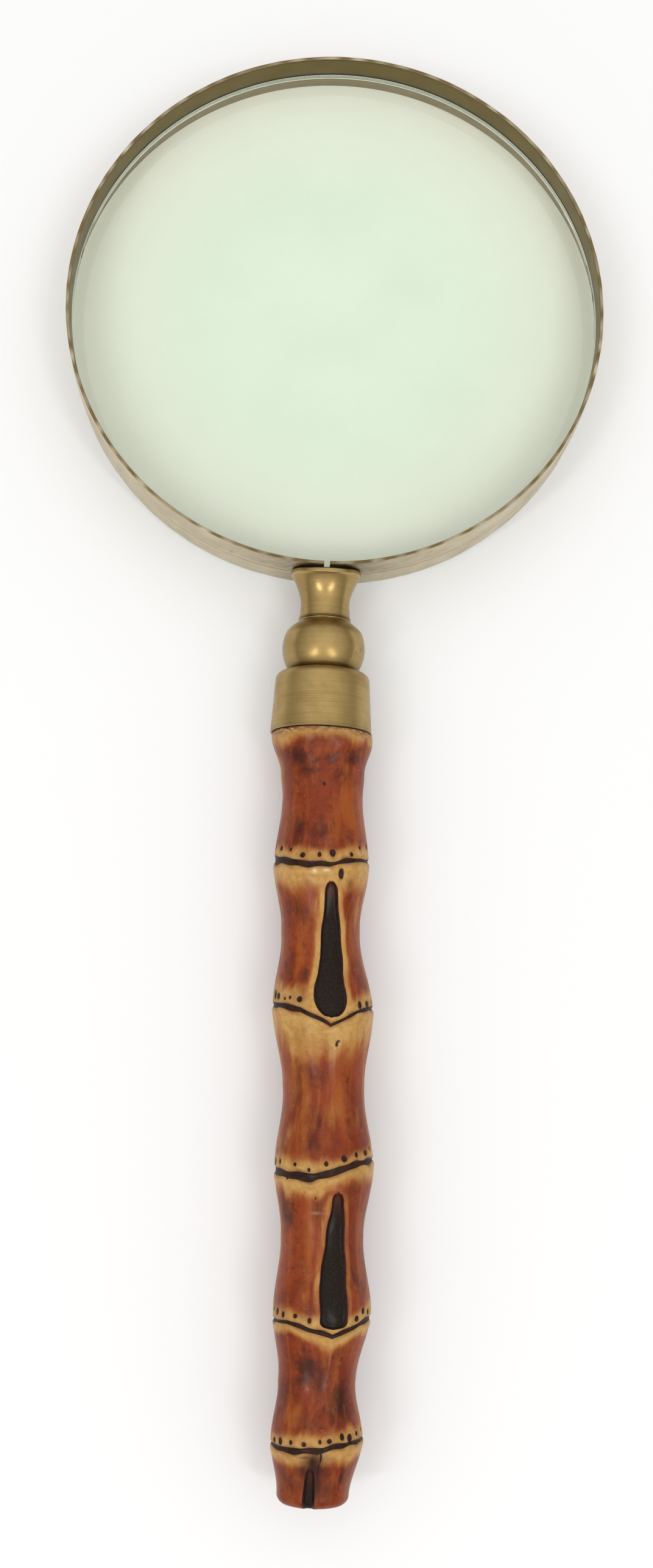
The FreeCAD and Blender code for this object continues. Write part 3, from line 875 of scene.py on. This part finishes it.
# Marks on the skin: (station, angle, half length, half width in mm, strength).
BRUISES = (
    (88.8, -34, 2.2, 2.8, 0.8), (89.6, -9, 1.3, 2.2, 0.5), (89.6, 11, 1.6, 2.8, 0.7),
    (88.8, 42, 2, 2.6, 0.7), (91.8, -22, 1.6, 3.2, 0.55), (92.4, 32, 2.2, 2, 0.5),
    (97.4, 14, 2.2, 1.8, 0.4), (102.6, -31, 2.6, 1.4, 0.6), (103.8, 37, 2.2, 1.6, 0.4),
    (95.3, -49, 3, 1.8, 0.45), (103.5, 3, 1.8, 1.4, 0.45), (118.6, -27, 3, 2.2, 0.55),
    (127.3, -46, 3.4, 1.6, 0.6), (113.4, 40, 1.9, 0.9, 0.7), (129, -19, 2.4, 1.3, 0.5),
    (123.5, -24, 3, 1.8, 0.35), (143.4, -45, 2, 1.5, 0.5), (147.2, -13, 3, 2.4, 0.55),
    (150, -40, 2.6, 2, 0.4), (147.8, 40, 3.2, 1.2, 0.45), (155.4, -9, 1.5, 0.8, 0.5),
    (159, -13, 2, 1.5, 0.65), (157, 33, 3.4, 1.4, 0.4), (172, -58, 3, 2.8, 0.7),
    (174.9, -36, 3.6, 2.2, 0.35), (182.6, 47, 3, 1.2, 0.6), (180, -30, 4.5, 1.6, 0.35),
    (186.3, 50, 2, 1.2, 0.4), (198.3, -18, 3.2, 2.5, 0.85), (200, 3, 3, 1, 0.6),
    (203.6, 37, 3.6, 2.2, 0.85), (195.4, 24, 2, 2.2, 0.5), (203, -60, 4, 2.2, 0.6),
    (207.6, -8, 2.2, 2.4, 0.5), (205.8, 20, 2.2, 1, 0.5), (216.4, 38, 2.2, 0.6, 0.85),
    (217.2, -48, 3, 2.4, 0.6), (215.6, 10, 2.2, 1.3, 0.6), (219, 24, 2.2, 2, 0.5),
    (215.4, -14, 1.4, 1.4, 0.6), (98, 160, 3.6, 3, 0.6), (120.5, 205, 3.6, 2.6, 0.6),
    (127, 150, 4, 2.4, 0.5), (155, 135, 3.6, 2.6, 0.6), (176, 165, 4, 3, 0.6),
    (183, 215, 3.2, 2.4, 0.5), (202, 140, 3.6, 2.6, 0.6), (102, 235, 3.6, 2.6, 0.5),
    (150, 250, 3.6, 2.4, 0.5), (214.2, -5, 2.4, 2.6, 1.2), (217.2, 4, 2.4, 1.2, 0.8),
)
# Golden columns where the scorching is light.
GOLDS = (
    (145, -52, 7, 1.4, 0.4), (152, -28, 8, 1.8, 0.34), (150, 6, 7, 1.8, 0.3),
    (158, -45, 4, 2, 0.36), (118, -6, 5, 1, 0.5), (126, 32, 6, 0.7, 0.5),
    (116.5, 60, 5, 1.2, 0.4), (178, -5, 6, 1, 0.35), (171, 8, 2.5, 1.2, 0.5),
    (186, -25, 3, 1.6, 0.3), (99, 62, 5, 1, 0.4), (206.5, -38, 2, 2, 0.45),
    (123, 175, 8, 1.6, 0.4), (152, 160, 8, 1.6, 0.4), (180, 200, 8, 1.6, 0.4),
)
# Brown stains that darken the pale rings too.
STAINS = (
    (213.8, -5, 2, 2.4, 1.15), (212.8, 12, 0.8, 1.6, 0.5), (212.6, -34, 0.7, 2.4, 0.3),
    (216.8, -5, 2.8, 2.4, 1.1), (189.2, -26, 1, 1.2, 0.35), (133.4, -36, 1.1, 1.6, 0.45),
    (167.2, 34, 1.8, 1.1, 0.75), (165.6, 48, 1.6, 0.9, 0.5), (109.5, -36, 0.5, 1.8, 0.5),
    (112, -18, 0.9, 0.8, 0.25), (85.4, -6, 1.6, 4.2, 0.4), (85.2, 26, 1.3, 2.6, 0.3),
    (112.4, 38, 1.1, 0.9, 0.6), (140, -30, 2, 1.4, 0.25), (141.6, 4, 1.6, 1.2, 0.35),
    (187.4, 30, 2.4, 0.5, 0.4), (160.6, -16, 1.2, 1.4, 0.3), (209, 24, 1.2, 1.6, 0.3),
    (131.6, 62, 1.6, 1.4, 0.3), (141, 200, 1.6, 1.8, 0.5), (169, 150, 1.6, 2, 0.5),
)
AMBERS = (
    (98, 35, 5, 3, 0.8), (88.2, 0, 1.2, 1.6, 0.7), (103, 20, 3, 2, 0.4), (125, -30, 5, 1.2, 0.6),
    (122, 50, 6, 1.2, 0.7), (150, -28, 4, 1, 0.6), (151, 20, 6, 1.2, 0.6),
    (156, -30, 4, 1.6, 0.7), (177, -22, 6, 1, 0.6), (184, 45, 4, 1.2, 0.6),
    (206, -30, 2.5, 2, 0.6), (216, -24, 1.6, 1.2, 0.7), (120, 160, 6, 2, 0.6),
    (152, 215, 6, 2, 0.6), (200, 230, 5, 2, 0.6),
)
BLACK_SPOTS = (
    (93.6, 1.5, 0.38, 0.3, 1), (110.8, 23, 1.2, 0.75, 1), (141.2, 17, 0.6, 0.4, 0.9),
    (140.6, 19, 0.3, 0.55, 0.8), (165.4, -49, 0.35, 0.28, 0.9), (168.8, -11, 0.4, 0.25, 0.8),
    (99.8, -38, 0.25, 0.2, 0.7), (126.9, 43, 0.2, 0.2, 0.6), (213, 5, 0.8, 0.24, 0.95),
    (214.9, 3.5, 1.8, 0.16, 0.95), (213.8, -7, 1.2, 0.8, 0.6), (213, -18, 0.4, 1.8, 0.5),
    (216.2, 3, 1.8, 0.9, 0.45), (212.6, 0, 0.25, 0.3, 0.8), (209, 66, 1.8, 0.12, 0.7),
)
PALE_SPOTS = (
    (110.3, -9, 0.32, 0.4, 0.8), (110.2, 4, 0.28, 0.6, 0.75), (141.9, 14, 0.3, 0.12, 0.7),
    (119.9, -31, 0.16, 0.14, 0.6), (171.3, -6, 0.08, 1.4, 0.35), (196, 14, 2, 0.06, 0.45),
    (125.8, 27, 3.5, 0.07, 0.35), (134.2, 6, 0.14, 0.1, 0.5), (133.6, 2, 0.1, 0.1, 0.5),
)


def eased(points, station):
    """Smooth rise and fall between turning points."""
    places = np.array([p[0] for p in points])
    values = np.array([p[1] for p in points])
    k = np.clip(np.searchsorted(places, station, side="right") - 1, 0, len(places) - 2)
    share = smooth((station - places[k]) / (places[k + 1] - places[k]))
    return values[k] + (values[k + 1] - values[k]) * share


def turn_between(angle, other):
    """Signed turn in degrees from other to angle, between -180 and 180."""
    return (angle - other + 180) % 360 - 180


def between(points, value):
    """Straight-line reading between given points."""
    return np.interp(value, [p[0] for p in points], [p[1] for p in points])


def groove_station(node, angle):
    """Where a node's groove runs, at each angle in degrees round the cane."""
    off = np.abs(turn_between(angle, node["dip_angle"]))
    shape = between(node["fall"], off)
    return node["station"] + node["lean"] * np.sin(np.radians(angle)) + node["dip"] * shape


def cane_stations():
    """Close rows at the grooves and ends, wider ones between."""
    stations = [CANE_TOP]
    while stations[-1] < CANE_END - TIP_ROUND:
        near = min(abs(stations[-1] - n["station"] - n["dip"] / 3) for n in NODES)
        near = min(near, abs(stations[-1] - CANE_TOP) + 1.5)
        stations.append(stations[-1] + float(np.clip(0.15 + (near - 2.6) * 0.12, 0.15, 0.42)))
    return np.array(stations)


class Bark:
    """The cane's skin while it is shaped: rows down the cane, columns round it."""

    def __init__(self, stations):
        self.stations = stations
        self.station = stations[:, None]
        self.down = self.station - CANE_TOP
        self.angle = np.degrees(angles_round(CANE_COLUMNS))[None, :]
        self.turn = np.radians(self.angle)
        self.swell = eased(CANE_SWELL, stations)[:, None]
        self.radius = self.swell + 0.07 * self.ripple(41, 3, self.station / 7)
        self.radius += 0.03 * self.ripple(43, 9, self.station / 4)
        self.ragged = self.ripple(44, 16, self.station * 1.5)
        names = ("dark", "honey_and_sheen", "rim", "flute_floor", "flute_red", "stain")
        self.marks = {name: np.zeros(self.radius.shape) for name in names}

    def ripple(self, seed, waves, *others):
        """Unevenness that meets itself round the cane, finer with more waves."""
        return ripple(seed, waves * np.sin(self.turn), waves * np.cos(self.turn), *others)

    def across(self, angle):
        """Distance round the skin from an angle in degrees, in mm."""
        return np.radians(turn_between(self.angle, angle)) * self.swell

    def lift(self, name, values):
        """Raise one of the marks to values, where they are higher."""
        self.marks[name] = np.maximum(self.marks[name], values)

    def marked(self, marks):
        """Soft marks from one of the lists above, all together."""
        station = self.station + 0.28 * self.ripple(81, 8, self.station * 1.3)
        drift = 0.25 * self.ripple(82, 8, station * 0.9)
        total = 0
        for at, angle, long, wide, strength in marks:
            across = self.across(angle) + min(1, wide) * drift
            fall = np.abs((station - at) / long) ** 2.2 + np.abs(across / wide) ** 2.2
            total = np.maximum(total, strength * np.exp(-fall))
        return total

    def cut_node(self, number, node):
        """One node: its groove with a lip below it, its pale ring and its row of scars."""
        wander = 0.09 * self.ripple(50 + number, 14)
        off = self.station - groove_station(node, self.angle) - wander
        half = between(node["half"], turn_between(self.angle, 0)) * (1 + 0.2 * self.ragged)
        groove = np.exp(-(off / half) ** 4)
        self.radius -= GROOVE_DEPTH * groove
        self.radius += LIP_RISE * hump(off - half, 0.6, 0.9)
        self.lift("dark", groove)
        self.lift("stain", (0.4 + 0.2 * self.ragged) * hump(np.abs(off), half, 0.45))
        above, below = node["honey"]
        reach = np.where(off > 0, below, above)
        reach = reach * (1 + 0.16 * self.ripple(60 + number, 5, self.station / 2))
        self.lift("honey_and_sheen", smooth((1.7 - np.abs(off) / reach) / 1.4))
        for k, (angle, rise) in enumerate(node["dots"] + BACK_DOTS):
            size = 0.56 + 0.15 * math.sin(5.1 * k + number)
            tall = 1.15 + 0.25 * math.sin(3.7 * k + 2 * number)
            place = groove_station(node, angle) - rise
            apart = np.sqrt((self.across(angle) * tall) ** 2 + (self.station - place) ** 2)
            apart = apart * (1 + 0.24 * self.ragged)
            scar = np.exp(-(apart / size) ** 4)
            self.radius -= SCAR_DEPTH * scar
            self.lift("dark", scar)
            self.lift("stain", 0.5 * hump(apart, 0, size * 1.9))

    def burn_spots(self):
        """The small black pits and cracks."""
        spots = self.marked(BLACK_SPOTS)
        self.lift("dark", spots)
        self.radius -= SPOT_DEPTH * spots

    def flute_margin(self, flute):
        """How far inside a flute's edge each point is, in mm: less than 0 outside."""
        stations = self.stations
        first, last = flute["half"][0][0], flute["half"][-1][0]
        top, bottom = flute["ends"]
        into_top = unit((stations - first) / top)
        into_bottom = unit((last - stations) / bottom)
        width = between(flute["half"], stations) + 0.06 * ripple(31, stations / 0.9)
        width = width * np.sqrt(1 - (1 - into_top) ** 2) * np.sqrt(1 - (1 - into_bottom) ** 2)
        slope = np.clip(np.abs(np.gradient(width, stations)), 0, 3)
        across = self.across(between(flute["middle"], stations)[:, None])
        margin = (width[:, None] - np.abs(across)) / np.sqrt(1 + slope ** 2)[:, None]
        beyond = np.minimum(stations - first, last - stations)[:, None]
        return np.where(beyond < 0, np.minimum(margin, beyond), margin)

    def cut_flute(self, flute):
        """One long hollow: reddish top end, burnt edge, rim with some painted highlight, paler
        skin beside it.
        """
        margin = self.flute_margin(flute)
        first = flute["half"][0][0]
        self.radius -= FLUTE_DEPTH * smooth(margin / 0.55 + 0.3)
        self.radius += LIP_RISE * hump(margin, -0.45, 0.4)
        self.lift("flute_floor", unit(margin / 0.3))
        self.lift("flute_red", 0.75 * hump(self.station, first, 2.6) * (margin > 0))
        self.lift("dark", hump(margin, 0.05, 0.22))
        # A pale stripe just outside the edge, partly a painted highlight along the rim.
        self.lift("rim", 0.4 * flute["pale"] * hump(margin, -0.6, 0.35))
        beside = hump(margin, -0.5, 0.9) * (margin < 0) * (self.station > first + 0.5)
        streaky = 1 + 0.25 * ripple(73, self.station / 1.5, self.angle / 9)
        self.lift("honey_and_sheen", beside * flute["pale"] * streaky)
        self.marks["honey_and_sheen"] = np.where(margin > 0, 0, self.marks["honey_and_sheen"])

    def brighten(self):
        """Golden skin under the ferrule and in columns, and a painted sheen down the two sides.
        """
        reach = 3.2 + 0.9 * self.ripple(72, 6)
        self.lift("honey_and_sheen", unit(1.4 - self.down / reach))
        self.lift("honey_and_sheen", self.marked(GOLDS))
        # Painted sheen: the two flanks, seen edge-on from the front, are made paler.
        sides = 0.38 * hump(np.abs(turn_between(self.angle, 0)), 84, 17)
        self.lift("honey_and_sheen", sides * (1 - self.marks["flute_floor"]))

    def chip_top(self):
        """The broken, stained and flaking edge where the cane meets the ferrule, and a painted
        shadow line under it.
        """
        chips = self.ripple(71, 34, self.station * 8)
        broken = unit((chips - 0.9) * 3) * hump(self.down, 0, 0.6)
        # Painted shadow: a dark line at the very top, under the ferrule's overhang; the chips are
        # real.
        self.lift("dark", np.maximum(hump(self.down, 0, 0.3), broken))
        self.lift("stain", unit(0.75 + 0.3 * chips) * hump(self.down, 0, 1.3))
        clusters = unit(0.4 + 0.5 * self.ripple(74, 7))
        self.marks["flake"] = clusters * hump(self.down, 0.6, 0.55)


def make_cane():
    """The bamboo root, from its tenon in the ferrule to its rounded tip."""
    bark = Bark(cane_stations())
    for number, node in enumerate(NODES):
        bark.cut_node(number, node)
    bark.burn_spots()
    for flute in FLUTES:
        bark.cut_flute(flute)
    bark.brighten()
    bark.chip_top()
    bark.marks["pale"] = bark.marked(PALE_SPOTS) * (1 - bark.marks["flute_floor"] * 0.5)
    bark.lift("stain", bark.marked(STAINS))
    bark.marks["bruise"] = bark.marked(BRUISES)
    bark.marks["amber"] = bark.marked(AMBERS)
    rows = turned_rows(bark.radius, bark.station, bark.turn)
    rows[:, :, 0] += between(CANE_BEND, bark.stations)[:, None]
    rows, marks = with_ends(rows, bark.marks)
    piece = woven("bamboo_cane", rows, capped=True, sharp_degrees=70, **marks)
    finish_piece(piece, "handle", "bamboo_handle", "bamboo", cane_material())


def with_ends(rows, marks):
    """Add the tenon with its hole above the shoulder, and round the cane's lower end."""
    centre = rows[-1].mean(axis=0)
    spokes = rows[-1] - centre
    tip_share = TIP_ROUND / np.linalg.norm(spokes, axis=1).mean()
    below = []
    for k in range(1, TIP_STEPS + 1):
        swing = k / TIP_STEPS * math.pi / 2
        row = centre + spokes * (1 - tip_share * (1 - math.cos(swing)))
        row[:, 1] -= TIP_ROUND * TIP_FALL * math.sin(swing)
        below.append(row)
    for share in (0.55, 0.3, 0.08):
        row = centre + spokes * (1 - tip_share) * share
        row[:, 1] -= TIP_ROUND * (TIP_FALL + (1 - TIP_FALL) * (1 - share))
        below.append(row)
    ring = rows[0] - np.array([rows[0][:, 0].mean(), 0, 0])
    circle = np.stack([ring[:, 0], 0 * ring[:, 0], ring[:, 2]], axis=1)
    circle /= np.linalg.norm(circle, axis=1)[:, None]
    hole_floor = TENON_TOP + INSERT_DEPTH
    tenon = ((AXIS_HOLE, hole_floor), (INSERT_HOLE, hole_floor), (INSERT_HOLE, TENON_TOP),
             (TENON_RADIUS, TENON_TOP), (TENON_RADIUS, CANE_TOP))
    above = [circle * radius + np.array([0, -station, 0]) for radius, station in tenon]
    grown = {}
    for key, values in marks.items():
        first = np.zeros((len(above), values.shape[1]))
        last = np.repeat(values[-1:], len(below), axis=0)
        grown[key] = np.vstack([first, values, last])
    return np.concatenate([above, rows, below]), grown


# ---------------------------------------------------------------- build

add_camera()
add_floor()
add_light()
TURNED_TONES = (rgb(174, 147, 95), rgb(206, 184, 132), rgb(148, 121, 70))
TURNED_BRASS = brass("turned_brass", *TURNED_TONES, "Y", roughness=0.29)
FERRULE_BRASS = brass("ferrule_brass", *TURNED_TONES, "Y", roughness=0.37)
make_band()
make_lens()
make_neck()
make_ball()
make_ferrule()
make_stud()
make_cane()
SOLDER = brass("solder_grey", rgb(120, 112, 96), rgb(150, 144, 128),
               rgb(86, 78, 64), "Z", roughness=0.5)
for node, material in (("rim_solder", SOLDER), ("stud_insert", FERRULE_BRASS)):
    for slot in frame["nodes"][node].material_slots:
        slot.material = material
